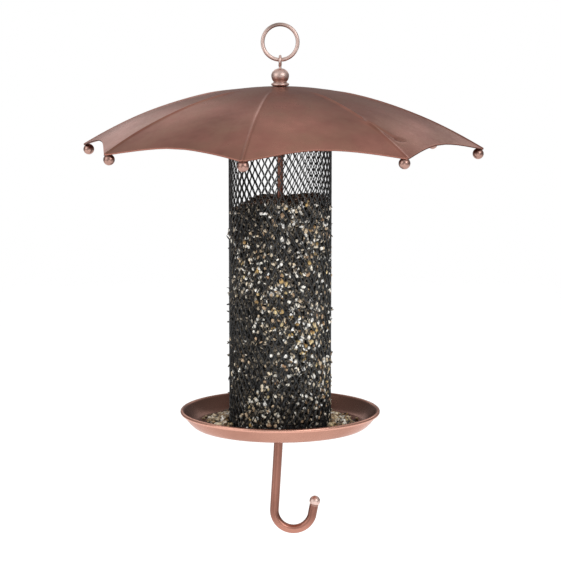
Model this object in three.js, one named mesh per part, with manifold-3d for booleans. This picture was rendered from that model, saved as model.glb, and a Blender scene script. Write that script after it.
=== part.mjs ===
// Hanging umbrella bird feeder. Millimetres, +Z up.
// Origin: the inside top of the hanging ring, where the supporting hook bears.
// The ring and the J handle lie in the XZ plane. -Y is the front.
//
// Load path: ring > eye > finial ball > centre rod > handle screwed on below the tray.
// The finial screws down on the rod and clamps collar, roof, washer and sleeve on the stop nut.
// The handle screws up and clamps the tray and the tube's base cap against the base nut.

import * as THREE from 'three';
import { mergeVertices } from 'three/addons/utils/BufferGeometryUtils.js';
import Module from 'manifold-3d';

const wasm = await Module();
wasm.setup();

// ---- driving dimensions ------------------------------------------------------------------

const GAP = 0.3;
const OVERCUT = 1;

const RING_RADIUS = 15.15;
const RING_WIRE = 1.65;
const RING_Z = -(RING_RADIUS - RING_WIRE);

const EYE_RADIUS = 4.05;
const EYE_WIRE = 1.15;
const EYE_SHANK_DEPTH = 4.6;

const ROD_RADIUS = 2.6;
const ROD_END_RADIUS = 2.0;
const ROD_END_LENGTH = 6.2;

const BALL_RADIUS = 7.7;
const BALL_CROWN = 6.4;
const BALL_SEAT_RADIUS = 5.6;
const BALL_BORE_DEPTH = 4.7;
const COLLAR_RADIUS = 7.75;
const COLLAR_NECK = 5.9;
const COLLAR_HEIGHT = 3.4;
const COLLAR_FLANGE = 2.2;

const ROOF_TIPS = 8;
const ROOF_APEX_Z = -51.45;
const ROOF_DROP = 52.3;
const ROOF_TIP_RADIUS = 176.5;
const ROOF_MID_RADIUS = 156.5;
const ROOF_SCALLOP_POWER = 1.85;
const ROOF_FLATNESS = 0.5;
const ROOF_ROUND_CENTRE = 60;
const ROOF_SHEET = 0.8;
const ROOF_FIRST_TIP = THREE.MathUtils.degToRad(-9.7);
const TIP_BALL_RADIUS = 4.75;
const TIP_BALL_CIRCLE = 171.9;
const TIP_BALL_Z = -107.8;
const TIP_STUD_RADIUS = 1.5;

const WASHER_RADIUS = 9;
const WASHER_THICK = 1.2;
const SLEEVE_RADIUS = 4;
const NUT_FLATS = 8.4;
const NUT_HEIGHT = 4;
const STOP_NUT_TOP = -108.8;

const TUBE_RADIUS = 45;
const TUBE_WALL = 0.9;
const TUBE_TOP_Z = -80;
const BAND_HEIGHT = 9;
const BAND_WALL = 0.8;
const CROSSBAR_WIDTH = 10;
const CROSSBAR_THICK = 1.5;
const CROSSBAR_TAB = 7;
const CROSSBAR_DROP = 3.5;
const CROSSBAR_END_GAP = 1;
const BASE_CAP_LIP = 5.5;

const TRAY_RADIUS = 88.3;
const TRAY_RIM_Z = -336.1;
const TRAY_DEPTH = 14.2;
const TRAY_FLOOR_RADIUS = 75;
const TRAY_SHEET = 1;
const TRAY_BEAD = 1.6;
const TRAY_WALL_BULGE = 0.75;
const TRAY_WALL_RISE = 1.15;

const HANDLE_RADIUS = 3.95;
const HANDLE_BEND = 17.1;
const HANDLE_LEAN = THREE.MathUtils.degToRad(3.4);
const HANDLE_FLARE = THREE.MathUtils.degToRad(11);
const HANDLE_BEND_X = 11.95;
const HANDLE_BEND_Z = -428.4;
const HANDLE_TIP_LENGTH = 10.5;
const HANDLE_BALL_RADIUS = 4.8;
const HANDLE_BALL_SEAT = 3.2;

const SEED_TOP_Z = -153;
const SEED_SLOPE = Math.atan(0.12);
const HEAP_INNER = 49;
const HEAP_OUTER = 64;
const HEAP_BEVEL = 1.8;
const HEAP_CORE = 1.2;
const HEAP_HALF_ANGLE = 32;
const HEAP_LEFT_ANGLE = 160;
const HEAP_RIGHT_ANGLE = 20;

// ---- derived places ----------------------------------------------------------------------

const BORE_RADIUS = ROD_RADIUS + GAP;
const EYE_Z = RING_Z - RING_RADIUS + RING_WIRE + GAP - (EYE_RADIUS - EYE_WIRE);
const ROOF_UNDER_Z = ROOF_APEX_Z - ROOF_SHEET;
const COLLAR_BOTTOM_Z = ROOF_APEX_Z + GAP;
const COLLAR_TOP_Z = COLLAR_BOTTOM_Z + COLLAR_HEIGHT;
const BALL_BOTTOM_Z = COLLAR_TOP_Z + GAP;
const BALL_MIDDLE_Z = BALL_BOTTOM_Z + Math.sqrt(BALL_RADIUS ** 2 - BALL_SEAT_RADIUS ** 2);
const BALL_TOP_Z = BALL_MIDDLE_Z + BALL_CROWN;
const ROD_TOP_Z = BALL_BOTTOM_Z + BALL_BORE_DEPTH - GAP;
const WASHER_TOP_Z = ROOF_UNDER_Z - 2 * GAP;
const SLEEVE_TOP_Z = WASHER_TOP_Z - WASHER_THICK - GAP;
const TRAY_UNDER_Z = TRAY_RIM_Z - TRAY_DEPTH;
const TRAY_FLOOR_Z = TRAY_UNDER_Z + TRAY_SHEET;
const TUBE_BOTTOM_Z = TRAY_FLOOR_Z + GAP;
const TUBE_BORE = TUBE_RADIUS - TUBE_WALL;
const BASE_NUT_Z = TUBE_BOTTOM_Z + WASHER_THICK + GAP;
const SEED_BOTTOM_Z = TUBE_BOTTOM_Z + BASE_CAP_LIP + GAP;

// ---- finishes ----------------------------------------------------------------------------

const finish = (color, roughness, metalness) =>
  () => new THREE.MeshStandardMaterial({ color, roughness, metalness });
const antiqueCopper = finish(0x875f55, 0.45, 0.7);
const brightCopper = finish(0xc08a78, 0.35, 0.8);
const darkCopper = finish(0x4a302b, 0.5, 0.6);
const blackSteel = finish(0x23252a, 0.5, 0.5);
const zincSteel = finish(0x8f9093, 0.4, 0.8);
const seedMix = finish(0x4a4034, 0.9, 0);
const huskMix = finish(0xb8a27c, 0.9, 0);

// ---- ways of making solids ---------------------------------------------------------------

// A solid of revolution about Z. The outline's [radius, z] pairs run up the outside of the
// section; a ring-shaped section ends on its first point.
function turned(outline, segments) {
  const points = outline.map(([r, z]) => new THREE.Vector2(r, z));
  return new THREE.LatheGeometry(points, segments).rotateX(Math.PI / 2);
}

// A straight round bar or bored bar between two heights.
function bushing(outer, inner, bottom, top, segments) {
  const outline = [[inner, bottom], [outer, bottom], [outer, top], [inner, top]];
  if (inner > 0) {
    outline.push(outline[0]);
  }
  return turned(outline, segments);
}

// Points of an arc in a section, angles in degrees from the radius axis.
function arc(centreR, centreZ, radius, from, to, steps) {
  return Array.from({ length: steps + 1 }, (_, i) => {
    const a = THREE.MathUtils.degToRad(from + (to - from) * i / steps);
    return [Math.max(0, centreR + radius * Math.cos(a)), centreZ + radius * Math.sin(a)];
  });
}

function toManifold(geometry) {
  const bare = geometry.clone();
  bare.deleteAttribute('normal');
  bare.deleteAttribute('uv');
  const merged = mergeVertices(bare, 1e-4);
  return new wasm.Manifold(new wasm.Mesh({
    numProp: 3,
    vertProperties: new Float32Array(merged.attributes.position.array),
    triVerts: new Uint32Array(merged.index.array),
  }));
}

function toGeometry(manifold) {
  const mesh = manifold.getMesh();
  const geometry = new THREE.BufferGeometry();
  geometry.setAttribute('position', new THREE.BufferAttribute(mesh.vertProperties, 3));
  geometry.setIndex(new THREE.BufferAttribute(mesh.triVerts, 1));
  return geometry;
}

const joined = (first, ...others) =>
  toGeometry(others.reduce((body, other) => body.add(toManifold(other)), toManifold(first)));
const cut = (first, ...tools) =>
  toGeometry(tools.reduce((body, tool) => body.subtract(toManifold(tool)), toManifold(first)));

const feeder = new THREE.Group();

function addPiece(name, geometry, material, parent = feeder) {
  const mesh = new THREE.Mesh(geometry, material());
  mesh.name = name;
  parent.add(mesh);
  return mesh;
}

// ---- hanging ring and eye ----------------------------------------------------------------

// Welded wire ring, upright in the XZ plane.
function hangingRing() {
  const ring = new THREE.TorusGeometry(RING_RADIUS, RING_WIRE, 10, 40);
  return ring.rotateX(Math.PI / 2).translate(0, 0, RING_Z);
}

// Wire eye in the YZ plane round the foot of the ring, with the shank that screws into the ball.
function topEye() {
  const loop = new THREE.TorusGeometry(EYE_RADIUS, EYE_WIRE, 8, 24);
  loop.rotateY(Math.PI / 2).translate(0, 0, EYE_Z);
  const shank = bushing(EYE_WIRE, 0, BALL_TOP_Z - EYE_SHANK_DEPTH, EYE_Z - EYE_RADIUS, 12);
  return joined(loop, shank);
}

addPiece('hanging_ring', hangingRing(), antiqueCopper);
addPiece('top_eye', topEye(), darkCopper);

// ---- finial ------------------------------------------------------------------------------

// Ball with a flattened crown and a flat seat, drilled from above for the eye and from below
// for the rod.
function finialBall() {
  const startAngle = -Math.acos(BALL_SEAT_RADIUS / BALL_RADIUS);
  const steps = 12;
  const outline = [[0, BALL_BOTTOM_Z]];
  for (let i = 0; i < steps; i++) {
    const a = startAngle + (Math.PI / 2 - startAngle) * i / steps;
    const rise = a < 0 ? BALL_RADIUS : BALL_CROWN;
    outline.push([BALL_RADIUS * Math.cos(a), BALL_MIDDLE_Z + rise * Math.sin(a)]);
  }
  outline.push([0, BALL_TOP_Z]);
  const body = turned(outline, 28);
  const eyeHole = bushing(EYE_WIRE + GAP, 0, BALL_TOP_Z - EYE_SHANK_DEPTH - GAP, BALL_TOP_Z + OVERCUT, 16);
  const rodHole = bushing(BORE_RADIUS, 0, BALL_BOTTOM_Z - OVERCUT, BALL_BOTTOM_Z + BALL_BORE_DEPTH, 16);
  return cut(body, eyeHole, rodHole);
}

// Loose turned collar: a narrow neck under the ball over a round-edged flange on the roof.
function finialCollar() {
  const edge = COLLAR_FLANGE / 2;
  return turned([
    [BORE_RADIUS, COLLAR_BOTTOM_Z],
    ...arc(COLLAR_RADIUS - edge, COLLAR_BOTTOM_Z + edge, edge, -90, 90, 6),
    [COLLAR_NECK, COLLAR_BOTTOM_Z + COLLAR_FLANGE],
    [COLLAR_NECK, COLLAR_TOP_Z],
    [BORE_RADIUS, COLLAR_TOP_Z],
    [BORE_RADIUS, COLLAR_BOTTOM_Z],
  ], 28);
}

addPiece('finial_ball', finialBall(), brightCopper);
addPiece('finial_collar', finialCollar(), brightCopper);

// ---- roof --------------------------------------------------------------------------------

// Share of a panel from its middle, 0, to the crease at either side, 1.
function panelShare(azimuth) {
  const panel = 2 * Math.PI / ROOF_TIPS;
  const turns = (azimuth - ROOF_FIRST_TIP) / panel;
  return Math.abs(turns - Math.floor(turns) - 0.5) * 2;
}

// Radius of the scalloped rim: a power curve between the middle of a panel and its tips.
function rimRadius(azimuth) {
  return ROOF_MID_RADIUS
    + (ROOF_TIP_RADIUS - ROOF_MID_RADIUS) * panelShare(azimuth) ** ROOF_SCALLOP_POWER;
}

// Height of the roof's upper face: a parabola along each crease, with the panels between
// the creases partly flattened away from the apex.
function roofHeight(radius, azimuth) {
  const halfPanel = Math.PI / ROOF_TIPS;
  const flattened = Math.cos(panelShare(azimuth) * halfPanel) / Math.cos(halfPanel) - 1;
  const fade = Math.min(1, radius / ROOF_ROUND_CENTRE);
  const reach = radius * (1 + ROOF_FLATNESS * fade * flattened) / ROOF_TIP_RADIUS;
  return ROOF_APEX_Z - ROOF_DROP * reach ** 2;
}

// Pressed sheet roof: a turned flat disc whose every point is then moved to the scalloped,
// creased dome. The lower face follows the upper at the sheet's thickness.
function roofSheet() {
  const rings = 8;
  const perPanel = 8;
  const radii = Array.from({ length: rings + 1 }, (_, i) => i / rings);
  const outline = [...radii.map((t) => [1 + t, 0]), ...radii.reverse().map((t) => [1 + t, 1])];
  outline.push(outline[0]);
  const sheet = turned(outline, ROOF_TIPS * perPanel);
  const place = sheet.attributes.position;
  for (let i = 0; i < place.count; i++) {
    const share = Math.hypot(place.getX(i), place.getY(i)) - 1;
    const azimuth = Math.atan2(place.getX(i), -place.getY(i)) + ROOF_FIRST_TIP;
    const radius = BORE_RADIUS + (rimRadius(azimuth) - BORE_RADIUS) * share;
    const sheetDrop = ROOF_SHEET * (1 - place.getZ(i));
    const height = roofHeight(radius, azimuth) - sheetDrop;
    place.setXYZ(i, radius * Math.sin(azimuth), -radius * Math.cos(azimuth), height);
  }
  return sheet;
}

// Ball soldered under a tip by a short stud that stands square to the sheet above it.
function tipBall(studLength) {
  const studAngle = Math.acos(TIP_STUD_RADIUS / TIP_BALL_RADIUS);
  return turned([
    ...arc(0, 0, TIP_BALL_RADIUS, -90, THREE.MathUtils.radToDeg(studAngle), 7),
    [TIP_STUD_RADIUS, studLength],
    [0, studLength],
  ], 12);
}

addPiece('roof', roofSheet(), antiqueCopper);

const tipSlope = Math.atan(2 * ROOF_DROP * TIP_BALL_CIRCLE / ROOF_TIP_RADIUS ** 2);
const tipSheetZ = roofHeight(TIP_BALL_CIRCLE, ROOF_FIRST_TIP) - ROOF_SHEET;
const tipStud = (tipSheetZ - TIP_BALL_Z) * Math.cos(tipSlope) - 2 * GAP;
for (let i = 0; i < ROOF_TIPS; i++) {
  const spoke = new THREE.Group();
  spoke.rotation.z = ROOF_FIRST_TIP + i * 2 * Math.PI / ROOF_TIPS;
  feeder.add(spoke);
  const ball = addPiece(`tip_ball_${i + 1}`, tipBall(tipStud), brightCopper, spoke);
  ball.position.set(0, -TIP_BALL_CIRCLE, TIP_BALL_Z);
  ball.rotation.x = tipSlope;
}

// ---- rod and its hardware ----------------------------------------------------------------

// Hexagon nut with a plain bore, standing on the given height.
function hexNut(bottom) {
  const corner = NUT_FLATS / Math.sqrt(3);
  const outline = new THREE.Shape(Array.from({ length: 6 }, (_, i) => {
    const a = i * Math.PI / 3;
    return new THREE.Vector2(corner * Math.cos(a), corner * Math.sin(a));
  }));
  outline.holes.push(new THREE.Path().absarc(0, 0, BORE_RADIUS, 0, 2 * Math.PI, true));
  const cuts = { depth: NUT_HEIGHT, bevelEnabled: false, curveSegments: 8 };
  return new THREE.ExtrudeGeometry(outline, cuts).translate(0, 0, bottom);
}

const rodBottom = TRAY_UNDER_Z - ROD_END_LENGTH;
addPiece('centre_rod', turned([
  [0, rodBottom],
  [ROD_END_RADIUS, rodBottom],
  [ROD_END_RADIUS, TRAY_UNDER_Z],
  [ROD_RADIUS, TRAY_UNDER_Z],
  [ROD_RADIUS, ROD_TOP_Z],
  [0, ROD_TOP_Z],
], 16), darkCopper);

const washerBottom = WASHER_TOP_Z - WASHER_THICK;
const washer = bushing(WASHER_RADIUS, BORE_RADIUS, washerBottom, WASHER_TOP_Z, 24);
const sleeve = bushing(SLEEVE_RADIUS, BORE_RADIUS, STOP_NUT_TOP + GAP, SLEEVE_TOP_Z, 20);
addPiece('roof_washer', washer, zincSteel);
addPiece('roof_sleeve', sleeve, darkCopper);
addPiece('stop_nut', hexNut(STOP_NUT_TOP - NUT_HEIGHT), darkCopper);
addPiece('base_nut', hexNut(BASE_NUT_Z), zincSteel);

// ---- seed tube ---------------------------------------------------------------------------

// Plain shell in the place of the expanded-metal cylinder, open at both ends.
addPiece('mesh_tube', bushing(TUBE_RADIUS, TUBE_BORE, TUBE_BOTTOM_Z, TUBE_TOP_Z, 40), blackSteel);

// Hoop round the outside of the tube's mouth.
const bandBore = TUBE_RADIUS + GAP;
const bandBottom = TUBE_TOP_Z - BAND_HEIGHT;
const band = bushing(bandBore + BAND_WALL, bandBore, bandBottom, TUBE_TOP_Z, 40);
addPiece('tube_top_band', band, blackSteel);

// Strip across the tube's mouth with turned-down ends and a round eye that centres the sleeve.
function crossbar() {
  const reach = TUBE_BORE - CROSSBAR_END_GAP;
  const top = TUBE_TOP_Z - CROSSBAR_DROP;
  const under = top - CROSSBAR_THICK;
  const foot = top - CROSSBAR_TAB;
  const side = new THREE.Shape([
    [-reach, foot], [-reach + CROSSBAR_THICK, foot], [-reach + CROSSBAR_THICK, under],
    [reach - CROSSBAR_THICK, under], [reach - CROSSBAR_THICK, foot], [reach, foot],
    [reach, top], [-reach, top],
  ].map(([y, z]) => new THREE.Vector2(y, z)));
  const strip = new THREE.ExtrudeGeometry(side, { depth: CROSSBAR_WIDTH, bevelEnabled: false });
  strip.translate(0, 0, -CROSSBAR_WIDTH / 2).rotateX(Math.PI / 2).rotateZ(Math.PI / 2);
  const eye = bushing(WASHER_RADIUS, 0, under, top, 24);
  const hole = bushing(SLEEVE_RADIUS + GAP, 0, under - OVERCUT, top + OVERCUT, 20);
  return cut(joined(strip, eye), hole);
}

// Shallow cup inside the foot of the tube, spot welded to the mesh and clamped on the tray.
function baseCap() {
  const outside = TUBE_BORE - GAP;
  const inside = outside - WASHER_THICK;
  const floor = TUBE_BOTTOM_Z + WASHER_THICK;
  const lip = TUBE_BOTTOM_Z + BASE_CAP_LIP;
  return turned([
    [BORE_RADIUS, TUBE_BOTTOM_Z],
    [outside, TUBE_BOTTOM_Z],
    [outside, lip],
    [inside, lip],
    [inside, floor],
    [BORE_RADIUS, floor],
    [BORE_RADIUS, TUBE_BOTTOM_Z],
  ], 40);
}

addPiece('tube_crossbar', crossbar(), blackSteel);
addPiece('tube_base_cap', baseCap(), blackSteel);

// ---- tray --------------------------------------------------------------------------------

// Spun dish with a flat floor, a flaring wall and a bead rolled outwards at the rim.
function trayDish() {
  const outerWall = [];
  const innerWall = [];
  const steps = 4;
  const beadCentre = TRAY_RADIUS - TRAY_BEAD;
  const spread = beadCentre - TRAY_BEAD / 2 - TRAY_FLOOR_RADIUS;
  const outerRise = TRAY_DEPTH - 2 * TRAY_BEAD;
  const innerRise = TRAY_DEPTH - TRAY_BEAD - TRAY_SHEET;
  for (let i = 0; i <= steps; i++) {
    const share = i / steps;
    const radius = TRAY_FLOOR_RADIUS + spread * share ** TRAY_WALL_BULGE;
    const rise = share ** TRAY_WALL_RISE;
    outerWall.push([radius, TRAY_UNDER_Z + outerRise * rise]);
    innerWall.push([radius - TRAY_SHEET, TRAY_FLOOR_Z + innerRise * rise]);
  }
  return turned([
    [BORE_RADIUS, TRAY_UNDER_Z],
    ...outerWall,
    ...arc(beadCentre, TRAY_RIM_Z - TRAY_BEAD, TRAY_BEAD, -90, 120, 6),
    ...innerWall.reverse(),
    [BORE_RADIUS, TRAY_FLOOR_Z],
    [BORE_RADIUS, TRAY_UNDER_Z],
  ], 52);
}

addPiece('tray', trayDish(), brightCopper);

// ---- handle ------------------------------------------------------------------------------

// Centre line of the J: a leaning straight leg, a round bend, and a short flared tip.
class HandleLine extends THREE.Curve {
  constructor(topZ) {
    super();
    this.sweep = Math.PI - HANDLE_LEAN - HANDLE_FLARE;
    this.legEnd = this.onBend(0);
    this.legLength = (topZ - this.legEnd.z) / Math.cos(HANDLE_LEAN);
    this.bendLength = HANDLE_BEND * this.sweep;
    this.total = this.legLength + this.bendLength + HANDLE_TIP_LENGTH;
  }

  onBend(turn) {
    const a = Math.PI - HANDLE_LEAN + turn;
    const x = HANDLE_BEND_X + HANDLE_BEND * Math.cos(a);
    return new THREE.Vector3(x, 0, HANDLE_BEND_Z + HANDLE_BEND * Math.sin(a));
  }

  getPoint(t) {
    const run = t * this.total;
    if (run < this.legLength) {
      const left = this.legLength - run;
      const lean = new THREE.Vector3(Math.sin(HANDLE_LEAN), 0, Math.cos(HANDLE_LEAN));
      return this.legEnd.clone().addScaledVector(lean, left);
    }
    const bent = Math.min(run - this.legLength, this.bendLength);
    const tip = Math.max(0, run - this.legLength - this.bendLength);
    const flare = new THREE.Vector3(Math.sin(HANDLE_FLARE), 0, Math.cos(HANDLE_FLARE));
    return this.onBend(bent / HANDLE_BEND).addScaledVector(flare, tip);
  }
}

const handleTopZ = TRAY_UNDER_Z - 2 * GAP;
const handleLine = new HandleLine(handleTopZ);

// Round bar along the centre line, drilled in its top end for the rod's thread.
function handleBar() {
  const section = new THREE.Shape().absarc(0, 0, HANDLE_RADIUS, 0, 2 * Math.PI, false);
  const sweep = { steps: 28, curveSegments: 6, extrudePath: handleLine };
  const bar = new THREE.ExtrudeGeometry(section, sweep);
  const socket = bushing(ROD_END_RADIUS + GAP, 0, rodBottom - GAP, TRAY_UNDER_Z + OVERCUT, 16);
  return cut(bar, socket);
}

// Ball closed over the handle's tip, with a flat seat where it meets the bar.
function handleBall() {
  const seatAngle = THREE.MathUtils.radToDeg(Math.asin(-HANDLE_BALL_SEAT / HANDLE_BALL_RADIUS));
  return turned([[0, -HANDLE_BALL_SEAT], ...arc(0, 0, HANDLE_BALL_RADIUS, seatAngle, 90, 9)], 20);
}

addPiece('handle_hook', handleBar(), brightCopper);
const endBall = addPiece('handle_ball', handleBall(), brightCopper);
endBall.position.copy(handleLine.getPoint(1));
endBall.position.x += (HANDLE_BALL_SEAT + GAP) * Math.sin(HANDLE_FLARE);
endBall.position.z += (HANDLE_BALL_SEAT + GAP) * Math.cos(HANDLE_FLARE);
endBall.rotation.y = HANDLE_FLARE;

// ---- seed --------------------------------------------------------------------------------

// The fill: a column round the rod whose top has slumped towards -X.
function seedFill() {
  const outside = TUBE_BORE - 2 * GAP;
  const crest = SEED_TOP_Z + outside / 2;
  const column = bushing(outside, BORE_RADIUS + GAP, SEED_BOTTOM_Z, crest, 40);
  const above = new THREE.BoxGeometry(4 * outside, 4 * outside, 2 * outside);
  above.translate(0, 0, outside).rotateY(-SEED_SLOPE).translate(0, 0, SEED_TOP_Z);
  return cut(column, above);
}

// Low crescent of spilled seed on the tray beside the tube, about an angle from +X.
function seedHeap(middle) {
  const start = THREE.MathUtils.degToRad(middle - HEAP_HALF_ANGLE);
  const end = THREE.MathUtils.degToRad(middle + HEAP_HALF_ANGLE);
  const outline = new THREE.Shape();
  outline.absarc(0, 0, HEAP_OUTER, start, end, false);
  outline.absarc(0, 0, HEAP_INNER, end, start, true);
  const heap = new THREE.ExtrudeGeometry(outline, {
    depth: HEAP_CORE,
    curveSegments: 10,
    bevelThickness: HEAP_BEVEL,
    bevelSize: HEAP_BEVEL,
    bevelSegments: 2,
  });
  return heap.translate(0, 0, TRAY_FLOOR_Z + GAP + HEAP_BEVEL);
}

addPiece('seed_fill', seedFill(), seedMix);
addPiece('tray_seed_left', seedHeap(HEAP_LEFT_ANGLE), huskMix);
addPiece('tray_seed_right', seedHeap(HEAP_RIGHT_ANGLE), huskMix);

export default feeder;
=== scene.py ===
"""Hanging umbrella bird feeder: the finished pieces round the fixed frame, in building order.

Sizes are in millimetres in the sections and become metres where a mesh is made.
"""

import bmesh
import bpy
import numpy as np
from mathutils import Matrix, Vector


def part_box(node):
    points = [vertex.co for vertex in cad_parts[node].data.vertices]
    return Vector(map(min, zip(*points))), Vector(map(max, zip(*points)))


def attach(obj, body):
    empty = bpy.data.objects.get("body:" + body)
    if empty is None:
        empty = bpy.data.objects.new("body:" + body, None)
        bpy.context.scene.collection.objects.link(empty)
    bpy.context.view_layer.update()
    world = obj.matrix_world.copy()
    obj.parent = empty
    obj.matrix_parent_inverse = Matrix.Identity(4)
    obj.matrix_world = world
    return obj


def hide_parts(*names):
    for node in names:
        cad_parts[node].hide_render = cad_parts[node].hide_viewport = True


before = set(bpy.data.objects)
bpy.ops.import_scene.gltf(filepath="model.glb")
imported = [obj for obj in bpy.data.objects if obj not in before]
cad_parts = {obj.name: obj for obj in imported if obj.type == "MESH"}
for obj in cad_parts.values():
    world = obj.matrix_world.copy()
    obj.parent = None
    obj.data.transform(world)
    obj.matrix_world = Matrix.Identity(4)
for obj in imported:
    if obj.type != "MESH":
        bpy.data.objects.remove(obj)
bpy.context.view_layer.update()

# ----------------------------------------------------------------------
# Studio: a pale floor well below the feeder, a white surround and large soft lights.
# The camera stands a little above the ring's top and looks slightly down.
# ----------------------------------------------------------------------

MM = 0.001
CAMERA_SIDE = 0.3
CAMERA_BACK = 1684.3
CAMERA_HEIGHT = 8.5
CAMERA_TILT = 7.83
CAMERA_LENS = 123.27
FLOOR_DROP = 760.0
FLOOR_RADIUS = 4000.0
LIGHT_AIM = np.array([0.0, 0.0, -0.2])

camera_data = bpy.data.cameras.new("camera")
camera_data.lens = CAMERA_LENS
camera = bpy.data.objects.new("camera", camera_data)
camera.location = (CAMERA_SIDE * MM, -CAMERA_BACK * MM, CAMERA_HEIGHT * MM)
camera.rotation_euler = (np.radians(90 - CAMERA_TILT), 0, 0)
bpy.context.scene.collection.objects.link(camera)
bpy.context.scene.camera = camera


def soft_light(name, place, size, power):
    """A square area light, placed and sized in metres, that faces the middle of the feeder."""
    data = bpy.data.lights.new(name, "AREA")
    data.size = size
    data.energy = power
    light = bpy.data.objects.new(name, data)
    light.location = place
    aim = LIGHT_AIM - np.array(place)
    light.rotation_euler = (
        np.arccos(-aim[2] / np.linalg.norm(aim)),
        0,
        np.arctan2(aim[1], aim[0]) - np.pi / 2,
    )
    bpy.context.scene.collection.objects.link(light)


soft_light("key_front_right", (1.3, -1.6, 0.8), 1.3, 16)
soft_light("fill_front_left", (-1.6, -1.0, 0.5), 1.5, 11)
soft_light("overhead", (0.1, 0.9, 1.6), 1.3, 1.8)
soft_light("edge_left", (-0.8, 2.0, 0.6), 0.7, 1.3)
soft_light("edge_right", (1.0, 1.8, 0.8), 0.8, 1.7)
soft_light("back_left", (-0.7, 1.8, 1.2), 0.8, 1.2)
soft_light("low_front", (0.1, -1.9, -0.75), 1.2, 6)
soft_light("low_left", (-1.5, -0.5, -0.75), 0.9, 2)

bpy.context.scene.view_settings.view_transform = "Standard"
world = bpy.data.worlds.new("surround")
bpy.context.scene.world = world
world.use_nodes = True


def add_node(tree, kind, **settings):
    """A shader node with its inputs, or else its own properties, set by name."""
    made = tree.nodes.new(kind)
    for key, value in settings.items():
        if key in made.inputs:
            made.inputs[key].default_value = value
        else:
            setattr(made, key, value)
    return made


def span(tree, source, low, high, to_low, to_high):
    """A value carried from between two levels to between two others, and held beyond them."""
    made = tree.nodes.new("ShaderNodeMapRange")
    levels = (low, high, to_low, to_high)
    for key, level in zip(("From Min", "From Max", "To Min", "To Max"), levels):
        made.inputs[key].default_value = level
    tree.links.new(source, made.inputs["Value"])
    return made.outputs["Result"]


def surround_light(tree):
    """White where the camera sees it; as light, bright overhead and dim towards the horizon,
    a little brighter in front, as under a large overhead panel."""
    direction = tree.nodes.new("ShaderNodeTexCoord")
    part = tree.nodes.new("ShaderNodeSeparateXYZ")
    tree.links.new(direction.outputs["Generated"], part.inputs["Vector"])
    total = add_node(tree, "ShaderNodeMath", operation="ADD")
    from_front = span(tree, part.outputs["Y"], -0.8, 0.8, 0.14, 0.0)
    from_above = span(tree, part.outputs["Z"], 0.05, 0.9, 0.21, 0.6)
    tree.links.new(from_front, total.inputs[0])
    tree.links.new(from_above, total.inputs[1])
    sight = tree.nodes.new("ShaderNodeLightPath")
    choice = add_node(tree, "ShaderNodeMix", B=1.0)
    tree.links.new(sight.outputs["Is Camera Ray"], choice.inputs["Factor"])
    tree.links.new(total.outputs["Value"], choice.inputs["A"])
    shader = tree.nodes["Background"]
    tree.links.new(choice.outputs["Result"], shader.inputs["Strength"])
    shader.inputs["Color"].default_value = (1, 1, 1, 1)


surround_light(world.node_tree)


def new_finish(name):
    """A new material, its node tree, its shader and the piece's Object coordinates."""
    material = bpy.data.materials.new(name)
    material.use_nodes = True
    tree = material.node_tree
    place = tree.nodes.new("ShaderNodeTexCoord").outputs["Object"]
    return material, tree, tree.nodes["Principled BSDF"], place


def pale_floor():
    """A flat disc whose paint fades into the surround towards its edge."""
    bpy.ops.mesh.primitive_circle_add(vertices=96, radius=FLOOR_RADIUS * MM, fill_type="NGON")
    floor = bpy.context.object
    floor.name = "floor"
    floor.location.z = -FLOOR_DROP * MM
    paint, tree, shader, place = new_finish("floor_paint")
    shader.inputs["Base Color"].default_value = (0.86, 0.86, 0.86, 1)
    shader.inputs["Roughness"].default_value = 0.9
    shader.inputs["Emission Color"].default_value = (1, 1, 1, 1)
    shader.inputs["Emission Strength"].default_value = 0.58
    spread = add_node(tree, "ShaderNodeVectorMath", operation="LENGTH")
    tree.links.new(place, spread.inputs[0])
    fade = span(tree, spread.outputs["Value"], 1.0, FLOOR_RADIUS * MM, 1.0, 0.0)
    tree.links.new(fade, shader.inputs["Alpha"])
    floor.data.materials.append(paint)


pale_floor()

# ----------------------------------------------------------------------
# Hanging ring: a welded ring of steel wire with an antique copper finish.
# It stands upright, and the hook that carries the feeder goes through it from front to back.
# ----------------------------------------------------------------------

RING_RADIUS = 15.15
RING_WIRE = 1.65
RING_Z = -(RING_RADIUS - RING_WIRE)
WELD_ANGLE = 0.24
WELD_LENGTH = 1.1
WELD_SWELL = 0.1
RING_TOP_SHADE = 0.62
END_DOME = np.radians([0, 15, 35, 60, 80])
COARSE_BRUSH = 420
FINE_BRUSH = 1500


def array_mesh(name, points, faces):
    """A mesh from an array of points in millimetres and an array of triangles or quads."""
    count, corners = faces.shape
    mesh = bpy.data.meshes.new(name)
    mesh.vertices.add(len(points))
    mesh.vertices.foreach_set("co", (points * MM).astype(np.float32).ravel())
    mesh.loops.add(count * corners)
    mesh.loops.foreach_set("vertex_index", faces.astype(np.int32).ravel())
    mesh.polygons.add(count)
    mesh.polygons.foreach_set("loop_start", np.arange(count, dtype=np.int32) * corners)
    mesh.polygons.foreach_set("loop_total", np.full(count, corners, np.int32))
    mesh.update(calc_edges=True)
    return mesh


def shaded_piece(name, mesh, smooth):
    """The mesh, shaded smooth or in flats, as an object in the scene."""
    mesh.polygons.foreach_set("use_smooth", np.full(len(mesh.polygons), smooth))
    piece = bpy.data.objects.new(name, mesh)
    bpy.context.scene.collection.objects.link(piece)
    return piece


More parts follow.
